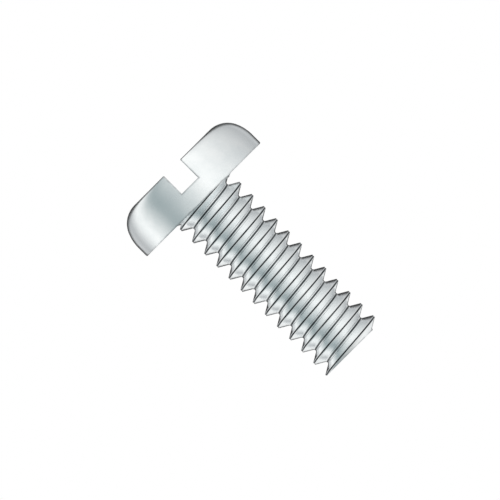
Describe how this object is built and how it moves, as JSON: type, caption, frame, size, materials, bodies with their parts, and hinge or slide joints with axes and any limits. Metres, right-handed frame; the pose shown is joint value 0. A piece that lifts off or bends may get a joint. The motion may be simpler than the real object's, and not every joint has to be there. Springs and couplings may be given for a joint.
{
  "type": "pan head machine screw",
  "caption": "Slotted pan head machine screw in bright zinc plated steel, with a coarse right-hand thread that runs up to the head and a plain flat end.",
  "frame": {"origin": "centre of the head's flat top, on which the screw stands", "axes": "+Z along the shank from the head's top to the tip, the driver slot runs along Y, X across the slot"},
  "size_m": [0.01, 0.01, 0.0158],
  "materials": {
    "zinc_plate": "bright zinc plate over cold headed and thread rolled steel, with a pale bluish silver tone"
  },
  "bodies": {
    "root": {"pan_head_screw": "zinc_plate"}
  },
  "joints": []
}
